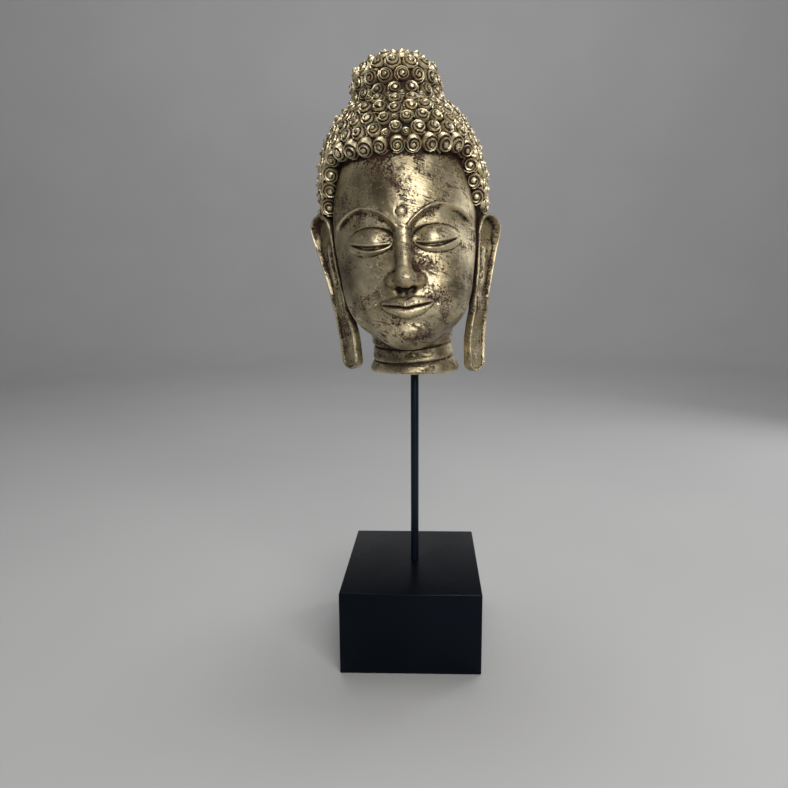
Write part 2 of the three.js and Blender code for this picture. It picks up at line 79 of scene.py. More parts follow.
# Hair
CURL_PITCH, CURL_LEAST, SMALL_CURL_LEAST = 11.6, 10.2, 7.2
CURL_RADIUS, CURL_HEIGHT, CURL_BEAD = 6, 4.6, 1.2
CURL_STEPS = 10
CURL_TURNS = 1.9
CURL_CREST, CURL_GROOVE, CURL_ROUND = 0.85, 0.45, 1.3
CURL_FILL, CURL_SIZES = 0.61, (0.9, 1.3)
CURL_SINK = 2.2
SMALL_CURL_GAP = 0.65
CURL_SPOTS = 241
FIRST_ROW, ROW_STEPS = 0.32, 18
HAIR_REACH, HAIR_CLIMB = 68, 175
KNOT_START = math.radians(61)
HAIR_MIDDLE = np.array((0.0, 8.0, 125.0))
HAIR_FRONT, HAIR_NAPE = HAIRLINE + 6, 58
HAIR_TEMPLE, HAIR_BEHIND_EAR = math.radians(50), math.radians(112)
OUTSIDE_HAIR, OUTSIDE_EDGE = 118, 95
EDGE_TAPER, EDGE_SINK = 8, 0.5
KNOT_RADIUS, KNOT_SHOULDER, KNOT_TOP = 29, 205, 224
KNOT_PITCH = 11.0
KNOT_DOME_ROWS = (20, 41, 65, 90)
KNOT_SIDE_ROW = (195.5, 29)

# Ears: the tables give heights, and the measure at each
EAR_TOP, EAR_LOW, EAR_STEP = 117, 4, 3.7
EAR_TURN = math.radians(47)
EAR_TOP_ROUND, LOBE_ROUND = 12, 7
EAR_OUTSIDE = (8, 23, 42, 60, 78, 108), (51, 52, 54, 57, 61.2, 68.8)
EAR_WIDTH = (8, 30, 50, 78, 104), (9, 9.6, 8.2, 9.5, 12.8)
EAR_THICK = (8, 40, 78, 110), (4.6, 4.4, 4, 4)
EAR_HOLLOW = (2, 8, 40, 50, 58, 66, 88, 94, 99, 113), (1.2, 1.8, 2.2, 1.2, 1.6, 3.6, 3.8, 3.6, 6, 6)

# Edges sharper than this, in degrees, stay crisp
HEAD_CREASE, STAND_CREASE = 62, 40

# Studio, in metres: the floor's flat part, the radius of its bend, and the run from its middle up the wall
FLOOR_RADIUS, FLOOR_BEND, FLOOR_RUN = 2.0, 0.9, 5.4
LENS, SENSOR, SIDE_SHIFT = 28.77, 36, -0.0297
CAMERA_PLACE = (0.0138, -0.4694, 0.2647)
CAMERA_TURN, CAMERA_TILT = math.radians(1.25), math.radians(90 - 8.89)


# Shaping helpers: distances in millimetres, negative inside

def bell(x, width):
    return np.exp(-((x / width) ** 2))


def step(x, low, high):
    t = np.clip((x - low) / (high - low), 0, 1)
    return t * t * (3 - 2 * t)


def join(a, b, fillet):
    h = np.maximum(fillet - np.abs(a - b), 0) / fillet
    return np.minimum(a, b) - h * h * fillet / 4


def cut(a, b, fillet):
    return -join(-a, b, fillet)


def ellipsoid(p, centre, radii):
    q = (p - np.array(centre)) / np.array(radii)
    reach = np.linalg.norm(q, axis=1)
    return reach * (reach - 1) / np.maximum(np.linalg.norm(q / np.array(radii), axis=1), 1e-9)


def round_cone(p, a, b, radius_a, radius_b):
    a, b = np.array(a), np.array(b)
    t = np.clip((p - a) @ (b - a) / ((b - a) @ (b - a)), 0, 1)
    return np.linalg.norm(p - a - t[:, None] * (b - a), axis=1) - (radius_a + (radius_b - radius_a) * t)


def around(turn, radius, z, y=0.0):
    z = np.broadcast_to(z, np.shape(turn))
    return np.stack([radius * np.sin(turn), y - radius * np.cos(turn), z], axis=-1)


def meet(surface, start, target, rounds=60):
    """Walk from outside points towards their targets until the surface is met."""
    p = np.array(start, dtype=float)
    way = target - p
    way /= np.linalg.norm(way, axis=1)[:, None]
    for _ in range(rounds):
        p += way * (0.7 * surface(p))[:, None]
    return p


def slope(surface, p, e=0.05):
    grad = np.empty_like(p)
    for k in range(3):
        nudge = np.zeros(3)
        nudge[k] = e
        grad[:, k] = (surface(p + nudge) - surface(p - nudge)) / (2 * e)
    return grad


def settle(surface, p):
    grad = slope(surface, p)
    return p - grad * (surface(p) / np.maximum((grad ** 2).sum(1), 0.25))[:, None]


def outward(surface, p):
    grad = slope(surface, p)
    return grad / np.linalg.norm(grad, axis=1)[:, None]


# Face and neck

def foot_level(x):
    """The neck's foot is cut level although the head leans."""
    return NECK_FOOT - x * math.tan(HEAD_LEAN)


def neck(p):
    x, y, z = p.T
    radius = NECK_RADIUS + NECK_FLARE * step(z, NECK_FOOT + 14, NECK_FOOT - 1) + 3 * step(z, 22, 50)
    radius = radius - 1.2 * (1 - step(z - foot_level(x), -0.6, 2.2))
    rise = FOLD_RISE * (y + NECK_RADIUS)
    for fold in NECK_FOLDS:
        above = z - fold - rise
        radius = radius - 1.3 * bell(above + 0.2, 1.0) + 0.6 * bell(above - 2.6, 2.0)
    return np.maximum(np.hypot(x, y - 0.06 * z) - radius, z - 70)


def nose(d, q):
    d = join(d, round_cone(q, (0, -51, BROW + 1), (0, -63, NOSE_BASE + 7), 4, 5), 7)
    d = join(d, ellipsoid(q, *NOSE_TIP), 4)
    d = join(d, ellipsoid(q, *NOSE_WING), 3)
    return cut(d, ellipsoid(q, *NOSTRIL), 2)


def masses(p):
    q = p.copy()
    q[:, 0] = np.abs(q[:, 0])
    d = ellipsoid(q, *SKULL)
    d = join(d, ellipsoid(q, *FACE), 12)
    d = join(d, ellipsoid(q, *CHEEK), 14)
    d = join(d, ellipsoid(q, *MUZZLE), 14)
    d = join(d, ellipsoid(q, *CHIN_BALL), 12)
    d = join(d, neck(p), 5)
    return nose(d, q)


def brow_line(x):
    return BROW - 0.5 + BROW_ARCH * (1 - np.minimum(1.4, ((x - BROW_APART) / BROW_HALF) ** 2))


def lid_line(x):
    u = np.clip((x - EYE_APART) / EYE_HALF, -1.2, 1.2)
    return EYE_LEVEL - 2 * np.maximum(0, 1 - u * u) + 1.2 * u


def lip_line(x):
    return MOUTH_LEVEL + 2.6 * np.minimum(1.3, (x / MOUTH_HALF) ** 2) - 0.8 * bell(x, 3.5)


def brow_relief(x, z):
    u = (x - BROW_APART) / BROW_HALF
    below = brow_line(x) - z
    hollow = step(below, -0.5, 5) * (1 - step(below, 6, 24))
    lean = 2 * BROW_ARCH * np.abs(u) / BROW_HALF
    across = below / np.hypot(1, lean)
    ends = step(x, 2.5, 6) * (1 - step(x, 44, 50))
    beside_nose = bell(x - 11, 5) * bell(z - EYE_LEVEL - 1, 8)
    ridge = 1.35 * bell(across, 1.15) - 0.6 * bell(across - 2.6, 1.0)
    return ridge * ends - 3.4 * hollow * step(x, 3, 9) * (1 - step(x, 36, 49)) - 3 * beside_nose


def eye_relief(x, z):
    ball = 1 - ((x - EYE_APART - 0.5) / 16) ** 2 - ((z - EYE_LEVEL - 1) / 9) ** 2
    u = np.clip((x - EYE_APART) / EYE_HALF, -1.2, 1.2)
    opening = np.maximum(0, 1 - u * u)
    fade = step(opening, 0, 0.3)
    upper = lid_line(x)
    lower = upper - 2.4 * opening
    slit = step(z, lower - 0.9, lower + 0.7) * (1 - step(z, upper - 0.7, upper + 0.7))
    edges = 0.55 * bell(z - upper - 1.0, 0.9) + 0.5 * bell(z - lower + 1.1, 0.9)
    v = (x - EYE_APART) / 16.5
    fold = EYE_LEVEL + 1.2 + 9 * np.sqrt(np.maximum(0, 1 - v * v))
    crease = 0.8 * bell(z - fold, 0.8) * step(1 - np.abs(v), 0, 0.2)
    return 4.2 * np.sqrt(np.maximum(0, ball)) + fade * (edges - 1.6 * slit) - crease


def mouth_relief(x, z):
    m = x / MOUTH_HALF
    fade = step(1 - m, 0, 0.22)
    line = lip_line(x)
    bow = 1 + 0.1 * bell(x - 4.6, 3) - 0.16 * bell(x, 2.2)
    top = line + 6 * np.maximum(0, 1 - m * m) ** 0.75 * bow
    low = line - 7.4 * np.maximum(0, 1 - (1.06 * m) ** 2) ** 0.75
    up = np.clip((z - line) / np.maximum(top - line, 0.5), 0, 1.4)
    down = np.clip((line - z) / np.maximum(line - low, 0.5), 0, 1.4)
    above = step(z, line - 0.6, line + 0.6)
    upper = (1 + 1.9 * (1 - up * up)) * above * (1 - step(z, top - 0.7, top + 0.7))
    lower = (1 + 2.3 * (1 - (1.5 * down - 0.6) ** 2)) * (1 - above) * step(z, low - 0.8, low + 0.8)
    corner = bell(x - MOUTH_HALF, 2.6) * bell(z - MOUTH_LEVEL - 2.6, 2.2)
    under = bell(x, 12) * bell(z - MOUTH_LEVEL + 11, 3)
    furrow = bell(x, 2) * step(z, MOUTH_LEVEL + 5.5, MOUTH_LEVEL + 8)
    furrow = furrow * (1 - step(z, NOSE_BASE - 2, NOSE_BASE + 1))
    rim = 0.35 * bell(z - top, 0.8) * fade * step(1 - m, 0.05, 0.3)
    lips = fade * (upper + lower - 1.5 * bell(z - line, 0.9))
    return lips - 1.3 * corner - 1.6 * under - 0.9 * furrow + rim


def mark_relief(x, z):
    return -0.6 * bell(np.hypot(x, z - MARK_LEVEL) - MARK_RADIUS - 0.5, 0.8)


def skin(p):
    x, y, z = np.abs(p[:, 0]), p[:, 1], p[:, 2]
    relief = brow_relief(x, z) + eye_relief(x, z) + mouth_relief(x, z) + mark_relief(x, z)
    return masses(p) - relief * step(y, -18, -30)


# Hair cap and top knot

def knot(p):
    x, y, z = p[:, 0], p[:, 1] - HAIR_MIDDLE[1], p[:, 2] - KNOT_SHOULDER
    side = np.maximum(np.maximum(np.hypot(x, y) - KNOT_RADIUS, z), -40 - z)
    radii = (KNOT_RADIUS, KNOT_RADIUS, KNOT_TOP - KNOT_SHOULDER)
    dome = ellipsoid(np.stack([x, y, z], 1), (0, 0, 0), radii)
    return np.minimum(side, dome)


def hair_edge(turn):
    drop = step(np.abs(turn), HAIR_TEMPLE, HAIR_BEHIND_EAR)
    return HAIR_FRONT + (HAIR_NAPE - HAIR_FRONT) * drop


def cap(p):
    """The hair without its curls: it thins out towards its edge."""
    bare = masses(p)
    hair = join(join(ellipsoid(p, *HAIR_MASS), bare - 1.5, 6), knot(p), 5)
    turn = np.arctan2(p[:, 0], HAIR_MIDDLE[1] - p[:, 1])
    thick = step(p[:, 2] - hair_edge(turn), -1, EDGE_TAPER)
    return thick * hair + (1 - thick) * (bare + EDGE_SINK)


def cap_at(turn, lift):
    level = HAIR_MIDDLE[2] + OUTSIDE_HAIR * np.sin(lift)
    out = around(turn, OUTSIDE_HAIR * np.cos(lift), level, HAIR_MIDDLE[1])
    return meet(cap, out, np.broadcast_to(HAIR_MIDDLE, out.shape))


def edge_ring(surface, turn):
    z = hair_edge(turn)
    axis = np.stack([np.zeros_like(turn), np.full_like(turn, HAIR_MIDDLE[1]), z], 1)
    return meet(surface, around(turn, OUTSIDE_EDGE, z, HAIR_MIDDLE[1]), axis)


def edge_lift(turn):
    p = edge_ring(cap, turn)
    return np.arctan2(p[:, 2] - HAIR_MIDDLE[2], np.hypot(p[:, 0], p[:, 1] - HAIR_MIDDLE[1]))


# Meshes

def read(bm):
    return np.array([v.co[:] for v in bm.verts])


def place(bm, points):
    for vert, point in zip(bm.verts, points):
        vert.co = point


def sheet_grid(columns, rows):
    """A grid of quads, and each vertex's share across (-1 to 1) and up (0 to 1)."""
    bm = bmesh.new()
    bmesh.ops.create_grid(bm, x_segments=columns, y_segments=rows, size=1)
    flat = read(bm)
    return bm, flat[:, 0], (flat[:, 1] + 1) / 2


def close_ends(bm):
    rim = [e for e in bm.edges if e.is_boundary]
    bmesh.ops.holes_fill(bm, edges=rim, sides=0)


def tidy(bm, merge=1e-4):
    bmesh.ops.remove_doubles(bm, verts=bm.verts, dist=merge)
    bmesh.ops.recalc_face_normals(bm, faces=bm.faces)


def to_object(name, bm, matrix=None):
    """A mesh in metres, with its place in its vertices."""
    bmesh.ops.transform(bm, matrix=(matrix or Matrix.Identity(4)), verts=bm.verts)
    bmesh.ops.scale(bm, vec=(MM, MM, MM), verts=bm.verts)
    mesh = bpy.data.meshes.new(name)
    bm.to_mesh(mesh)
    bm.free()
    made = bpy.data.objects.new(name, mesh)
    bpy.context.scene.collection.objects.link(made)
    return made


def combine(body, tool, operation):
    """Join a tool's solid to a body, or cut it out, and keep the result as the body's mesh."""
    change = body.modifiers.new(operation, "BOOLEAN")
    change.operation = operation
    change.solver = "MANIFOLD"
    change.object = tool
    bpy.context.view_layer.update()
    done = bpy.data.meshes.new_from_object(body.evaluated_get(bpy.context.evaluated_depsgraph_get()))
    body.modifiers.clear()
    done.name = body.name
    body.data = done
    bpy.data.objects.remove(tool)


HEAD_PLACE = Matrix.Translation((ROD_X, 0, HEAD_LEVEL)) @ Matrix.Rotation(-HEAD_LEAN, 4, "Y")


def skin_rays(turn, t):
    """Where each point of the skin is looked for: neck, under the jaw, face, crown.
    Each key holds the share of the way up, then the radius and level of the ray's start and of its target."""
    side = np.abs(turn)
    jaw = CHIN - 1 + 26 * step(side, math.radians(18), math.radians(95))
    depth = np.where(side < math.pi / 2, 54, 60)
    reach = 1 / np.hypot(np.sin(side) / 42, np.cos(side) / depth)
    x = np.abs(1.08 * reach * np.sin(turn)) * step(np.cos(side), -0.3, 0.3)
    lips, lids = lip_line(x), lid_line(x)
    brows = np.maximum(lids + 14, brow_line(x) + 3)
    foot = foot_level((NECK_RADIUS + NECK_FLARE) * np.sin(turn))
    keys = (
        (0, 70, foot, 0, foot),
        (0.13, 70, jaw - 5, 0, jaw - 5),
        (0.19, reach - 4, jaw - 26, reach - 16, jaw + 20),
        (0.24, reach + 22, jaw - 10, reach - 25, jaw + 22),
        (0.29, 100, np.maximum(lips - 13, jaw + 10), 0, np.maximum(lips - 6, jaw + 18)),
        (0.49, 100, np.maximum(lips + 8, jaw + 22), 0, np.maximum(lips + 8, jaw + 24)),
        (0.62, 100, lids - 8, 0, lids - 8),
        (0.76, 100, lids + 9, 0, lids + 9),
        (0.87, 100, brows, 0, brows),
        (0.97, 95, HAIR_FRONT + 5, 0, HAIR_FRONT - 5),
        (1, 6, 215, 0, 150),
    )
    ends = np.zeros((4, len(t)))
    for low, high in zip(keys, keys[1:]):
        here = (t >= low[0]) & (t <= high[0])
        share = (t - low[0]) / (high[0] - low[0])
        for k in range(4):
            ends[k] = np.where(here, low[k + 1] + (high[k + 1] - np.asarray(low[k + 1])) * share, ends[k])
    return around(turn, ends[0], ends[1]), around(turn, ends[2], ends[3])


def skin_mesh(columns=204, rows=244):
    """Face, neck and the bare skull: a net let down on the skin from outside and then evened out."""
    bm, across, up = sheet_grid(columns, rows)
    turn = math.pi * (0.34 * across + 0.66 * across ** 3)
    start, target = skin_rays(turn, up)
    wide = columns + 1
    net = meet(skin, start, target).reshape(rows + 1, wide, 3)
    for _ in range(4):
        left = np.concatenate([net[:, -2:-1], net[:, :-1]], 1)
        right = np.concatenate([net[:, 1:], net[:, 1:2]], 1)
        even = (left + right) / 2
        even[1:-1] = (even[1:-1] + (net[2:] + net[:-2]) / 2) / 2
        net[1:-1] = net[1:-1] / 2 + even[1:-1] / 2
        net = settle(skin, net.reshape(-1, 3)).reshape(net.shape)
        net[0, :, 2] = foot_level(net[0, :, 0])
    net[:, -1] = net[:, 0]
    place(bm, net.reshape(-1, 3))
    tidy(bm)
    close_ends(bm)
    bmesh.ops.recalc_face_normals(bm, faces=bm.faces)
    return bm


def cap_mesh(columns=150, rows=48):
    """The hair cap with the top knot. Its lowest row turns in under the skin."""
    bm, across, up = sheet_grid(columns, rows)
    turn = math.pi * across
    low = edge_lift(turn)
    lift = low + (math.pi / 2 - 0.02 - low) * np.maximum(0, up - 1 / rows) * rows / (rows - 1)
    points = cap_at(turn, lift)
    rim = edge_ring(masses, turn)
    rim -= 0.8 * outward(masses, rim)
    points[up < 0.5 / rows] = rim[up < 0.5 / rows]
    place(bm, points)
    tidy(bm, 1e-3)
    close_ends(bm)
    bmesh.ops.recalc_face_normals(bm, faces=bm.faces)
    return bm


def ear_mesh(side, columns=64, rows=116):
    """Loops down the ear: a thin rim that arches over a deep hollow, a channel below it, and a long lobe."""
    bm, across, up = sheet_grid(columns, rows)
    theta = math.pi * (across + 1)
    z = EAR_TOP + (EAR_LOW - EAR_TOP) * (1 - np.cos(math.pi * (0.004 + 0.992 * up))) / 2
    outside = np.interp(z, *EAR_OUTSIDE)
    full = np.interp(z, *EAR_WIDTH)
    thick = np.interp(z, *EAR_THICK)
    top_round = np.sqrt(np.maximum(0, 1 - np.maximum(0, 1 - (EAR_TOP - z) / EAR_TOP_ROUND) ** 2))
    low_round = np.sqrt(np.maximum(0, 1 - np.maximum(0, 1 - (z - EAR_LOW) / LOBE_ROUND) ** 2))
    tip = top_round * low_round
    w = full * tip * np.cos(theta)
    rise = np.sin(theta)
    over = np.maximum(0, z - EAR_TOP + EAR_TOP_ROUND) / EAR_TOP_ROUND
    under = np.maximum(0, EAR_LOW + LOBE_ROUND - z) / LOBE_ROUND
    from_rim = np.minimum(1 - np.hypot(w / full, over), 1 - np.hypot(w / full, under)) * full
    deep = np.interp(z, *EAR_HOLLOW)
    channel = deep * step(from_rim, 1.5, 3.4)
    fold = 2.4 * bell(w + 1.5 + 0.12 * (z - 80), 1.8) * step(z, 60, 70) * (1 - step(z, 90, 98))
    flap = 1.6 * bell(w + 3, 2.2) * bell(z - 57, 7)
    n = thick * np.sqrt(tip) * np.sign(rise) * np.abs(rise) ** 0.45
    n = np.where(rise > 0, n - channel + fold + flap + 0.5 * bell(from_rim - 0.9, 0.8), n)
    wide, out = math.cos(EAR_TURN), math.sin(EAR_TURN)
    x = outside - full * wide + wide * w + out * n
    y = -2 + 0.03 * (z - 60) + out * w - wide * n
    place(bm, np.stack([side * x, y, z - side * EAR_STEP], 1))
    tidy(bm)
    close_ends(bm)
    bmesh.ops.recalc_face_normals(bm, faces=bm.faces)
    return bm


def mark_mesh():
    """The round dot on the forehead."""
    bm = bmesh.new()
    bmesh.ops.create_uvsphere(bm, u_segments=28, v_segments=16, radius=MARK_RADIUS)
    bmesh.ops.scale(bm, vec=(1, 0.55, 1), verts=bm.verts)
    spot = meet(skin, np.array([(0.0, -100.0, MARK_LEVEL)]), np.array([(0.0, 0.0, MARK_LEVEL)]))[0]
    bmesh.ops.translate(bm, vec=spot, verts=bm.verts)
    return bm


# Curls

def knot_places():
    """Rings of curls round the top knot, and one on its top."""
    rings = []
    for degrees in KNOT_DOME_ROWS:
        a = math.radians(degrees)
        rings.append((KNOT_SHOULDER + (KNOT_TOP - KNOT_SHOULDER) * math.cos(a), KNOT_RADIUS * math.sin(a)))
    rings.append(KNOT_SIDE_ROW)
    places = [np.array((0, HAIR_MIDDLE[1], KNOT_TOP))]
    for k, (z, radius) in enumerate(rings):
        count = round(2 * math.pi * radius / KNOT_PITCH)
        turn = 2 * math.pi * (np.arange(count) + 0.5 * (k % 2)) / count
        places += list(around(turn, radius, z, HAIR_MIDDLE[1]))
    return list(settle(cap, np.array(places)))


def curl_places():
    """Rows climb from the hairline, each curl in the first gap that is wide enough, the same on both sides.
    Small curls then fill the gaps that are left. Returns the places and each curl's size."""
    places = knot_places()
    turns = math.pi * np.arange(CURL_SPOTS) / (CURL_SPOTS - 1)
    lows = edge_lift(turns)
    climb = FIRST_ROW * CURL_PITCH
    spots = []
    while climb < HAIR_CLIMB:
        lifts = lows + climb / HAIR_REACH
        points = cap_at(turns, np.minimum(lifts, math.pi / 2))
        under_ear = (points[:, 2] < EAR_TOP + EAR_STEP + 1) & (points[:, 1] > -14) & (points[:, 1] < 12)
        for i in np.flatnonzero((lifts < math.pi / 2) & ~under_ear):
            point = points[i]
            spots.append(point)
            middle = i in (0, len(turns) - 1)
            crowded = not middle and 2 * abs(point[0]) < CURL_LEAST
            if crowded or lifts[i] > KNOT_START:
                continue
            if np.min(np.linalg.norm(np.array(places) - point, axis=1)) < CURL_LEAST:
                continue
            places.append(point)
            if not middle:
                places.append(point * (-1, 1, 1))
        climb += CURL_PITCH / ROW_STEPS
    large = len(places)
    spots = np.array(spots)
    room = np.min([np.linalg.norm(spots - point, axis=1) for point in places], axis=0)
    small = []
    while room.max() > SMALL_CURL_LEAST:
        widest = np.argmax(room)
        pair = [spots[widest], spots[widest] * (-1, 1, 1)]
        for point in pair[:1] if 2 * abs(spots[widest, 0]) < SMALL_CURL_LEAST else pair:
            places.append(point)
            small.append(min(CURL_SIZES[0], room[widest] / CURL_RADIUS - SMALL_CURL_GAP))
        for point in pair:
            room = np.minimum(room, np.linalg.norm(spots - point, axis=1))
    places = np.array(places)
    gaps = np.sort(np.linalg.norm(places[:large, None] - places[None], axis=2), axis=1)[:, 1:6].mean(1)
    sizes = np.clip(CURL_FILL * gaps / CURL_RADIUS, *CURL_SIZES)
    return places, np.append(sizes, small)


def curl_mesh(way):
    """One snail-shell curl on z = 0: a ridge that winds up to a bead. way is 1 or -1, the way it winds."""
    steps = round(CURL_STEPS * CURL_TURNS)
    bm, across, up = sheet_grid(steps, 2)
    turns = (across + 1) / 2 * CURL_TURNS
    width = (CURL_RADIUS - CURL_BEAD) / (CURL_TURNS + 1)
    radius = CURL_RADIUS - width * (turns + up)
    crest = np.abs(up - 0.5) < 0.1
    height = CURL_HEIGHT * (1 - (np.maximum(0, radius) / CURL_RADIUS) ** CURL_ROUND)
    height = np.where(crest, height + CURL_CREST, height - CURL_GROOVE)
    radius = np.where(crest, radius + 0.25, radius)
    angle = way * 2 * math.pi * turns
    place(bm, np.stack([radius * np.cos(angle), radius * np.sin(angle), height], 1))
    bmesh.ops.remove_doubles(bm, verts=bm.verts, dist=1e-4)
    between = (CURL_RADIUS + CURL_BEAD) / 2
    rim = [e for e in bm.edges if e.is_boundary]
    foot = [e for e in rim if all(v.co.xy.length > between for v in e.verts)]
    bead = [e for e in rim if all(v.co.xy.length < between for v in e.verts)]
    filled = bmesh.ops.edgeloop_fill(bm, edges=bead)["faces"]
    peak = bmesh.ops.poke(bm, faces=filled)["verts"]
    for vert in peak:
        vert.co.z = CURL_HEIGHT + 0.7 * CURL_CREST
    skirt = bmesh.ops.extrude_edge_only(bm, edges=foot)["geom"]
    lower = [v for v in skirt if isinstance(v, bmesh.types.BMVert)]
    for vert in lower:
        vert.co.z = -CURL_SINK
    base = [e for e in skirt if isinstance(e, bmesh.types.BMEdge) and e.is_boundary]
    bmesh.ops.edgeloop_fill(bm, edges=base)
    bmesh.ops.recalc_face_normals(bm, faces=bm.faces)
    return bm


def curl_groups(places, sizes):
    """Sorts the curls into groups in which no two touch, so that each group is one set of closed solids."""
    groups = []
    for i, point in enumerate(places):
        for group in groups:
            if all(math.dist(point, places[k]) > 1.08 * CURL_RADIUS * (sizes[i] + sizes[k]) for k in group):
                group.append(i)
                break
        else:
            groups.append([i])
    return groups


def curls_meshes():
    """The curls, each turned, tilted and sized a little differently, as one mesh for each group."""
    places, sizes = curl_places()
    moves, patterns = [], []
    for point, way, size in zip(places, outward(cap, places), sizes):
        tilt = Vector(way + RANDOM.normal(0, 0.07, 3)).normalized()
        turn = tilt.to_track_quat("Z", "Y").to_matrix().to_4x4()
        turn = turn @ Matrix.Rotation(RANDOM.uniform(0, 2 * math.pi), 4, "Z")
        wide = size * RANDOM.uniform(0.94, 1.06)
        tall = wide * RANDOM.uniform(0.9, 1.1)
        moves.append(Matrix.Translation(Vector(point)) @ turn @ Matrix.Diagonal((wide, wide, tall, 1)))
        patterns.append(1 if RANDOM.random() < 0.6 else -1)
    pattern = {}
    for way in (1, -1):
        bm = curl_mesh(way)
        pattern[way] = bpy.data.meshes.new("curl_pattern")
        bm.to_mesh(pattern[way])
        bm.free()
    made = []
    for group in curl_groups(places, sizes):
        whole = bmesh.new()
        for k in group:
            before = len(whole.verts)
            whole.from_mesh(pattern[patterns[k]])
            whole.verts.ensure_lookup_table()
            bmesh.ops.transform(whole, matrix=moves[k], verts=whole.verts[before:])
        made.append(whole)
    for mesh in pattern.values():
        bpy.data.meshes.remove(mesh)
    return made


def socket_mesh(z):
    """A pin as wide as the rod's hole. z gives the levels of the hole's mouth and floor."""
    bm = bmesh.new()
    radius = ROD_RADIUS + FIT_GAP
    depth = 2 * abs(z[1] - z[0])
    bmesh.ops.create_cone(bm, cap_ends=True, segments=ROD_SIDES, radius1=radius, radius2=radius, depth=depth)
    bmesh.ops.translate(bm, vec=(ROD_X, 0, z[0]), verts=bm.verts)
    return bm


# Occlusion and edges: how hidden and how exposed each point of a surface is, used for painted shade and for
# wear

def hemisphere(count):
    k = np.arange(count) + 0.5
    lift = np.sqrt(1 - k / count)
    turn = k * math.pi * (3 - math.sqrt(5))
    flat = np.sqrt(k / count)
    return np.stack([flat * np.cos(turn), flat * np.sin(turn), lift], 1)


def write_attribute(mesh, name, values):
    layer = mesh.attributes.new(name, "FLOAT", "POINT")
    layer.data.foreach_set("value", np.asarray(values, dtype=np.float32))


def hair_ground(made):
    """Writes ground: 1 on the hair between its curls, fading over the skin below it, 0 elsewhere."""
    back = np.array(HEAD_PLACE.inverted())
    points = np.empty(len(made.data.vertices) * 3)
    made.data.vertices.foreach_get("co", points)
    points = points.reshape(-1, 3) / MM @ back[:3, :3].T + back[:3, 3]
    turn = np.arctan2(points[:, 0], HAIR_MIDDLE[1] - points[:, 1])
    ragged = 0.7 * np.sin(37 * turn) + 0.6 * np.sin(61 * turn + 1)
    above = points[:, 2] - hair_edge(turn) + ragged
    near = np.maximum(step(above, 0, 1.6), 0.5 * step(above, -14, 0))
    write_attribute(made.data, "ground", near * (1 - step(cap(points), 0.1, 1.5)))


def occlusion_and_edges(made, reach=12 * MM, count=20):
    """Writes hidden (0 open, 1 deep in a recess, found by rays; the gold paints shade from it) and edge
    (convex above 0, hollow below) on the mesh.
    """
    mesh = made.data
    bm = bmesh.new()
    bm.from_mesh(mesh)
    tree = BVHTree.FromBMesh(bm)
    rays = [Vector(r) for r in hemisphere(count)]
    hidden, edge = [], []
    for vert in bm.verts:
        normal = vert.normal
        frame_turn = normal.to_track_quat("Z", "Y")
        start = vert.co + normal * (0.05 * MM)
        shade = 0.0
        for ray in rays:
            hit = tree.ray_cast(start, frame_turn @ ray, reach)
            if hit[0] is not None:
                shade += 1 - hit[3] / reach
        hidden.append(shade / count)
        around_it = [e.other_vert(vert).co - vert.co for e in vert.link_edges]
        bend = sum((-(d.normalized().dot(normal)) for d in around_it), 0.0) / max(1, len(around_it))
        edge.append(bend)
    bm.free()
    write_attribute(mesh, "hidden", hidden)
    write_attribute(mesh, "edge", edge)


def shade_smooth(made, degrees):
    bm = bmesh.new()
    bm.from_mesh(made.data)
    for face in bm.faces:
        face.smooth = True
    for e in bm.edges:
        e.smooth = not (e.is_manifold and e.calc_face_angle() > math.radians(degrees))
    bm.to_mesh(made.data)
    bm.free()


# Materials

def new_material(name):
    made = bpy.data.materials.new(name)
    made.use_nodes = True
    nodes = made.node_tree.nodes
    nodes.clear()
    out = nodes.new("ShaderNodeOutputMaterial")
    shader = nodes.new("ShaderNodeBsdfPrincipled")
    made.node_tree.links.new(shader.outputs[0], out.inputs["Surface"])
    return made, nodes, made.node_tree.links, shader


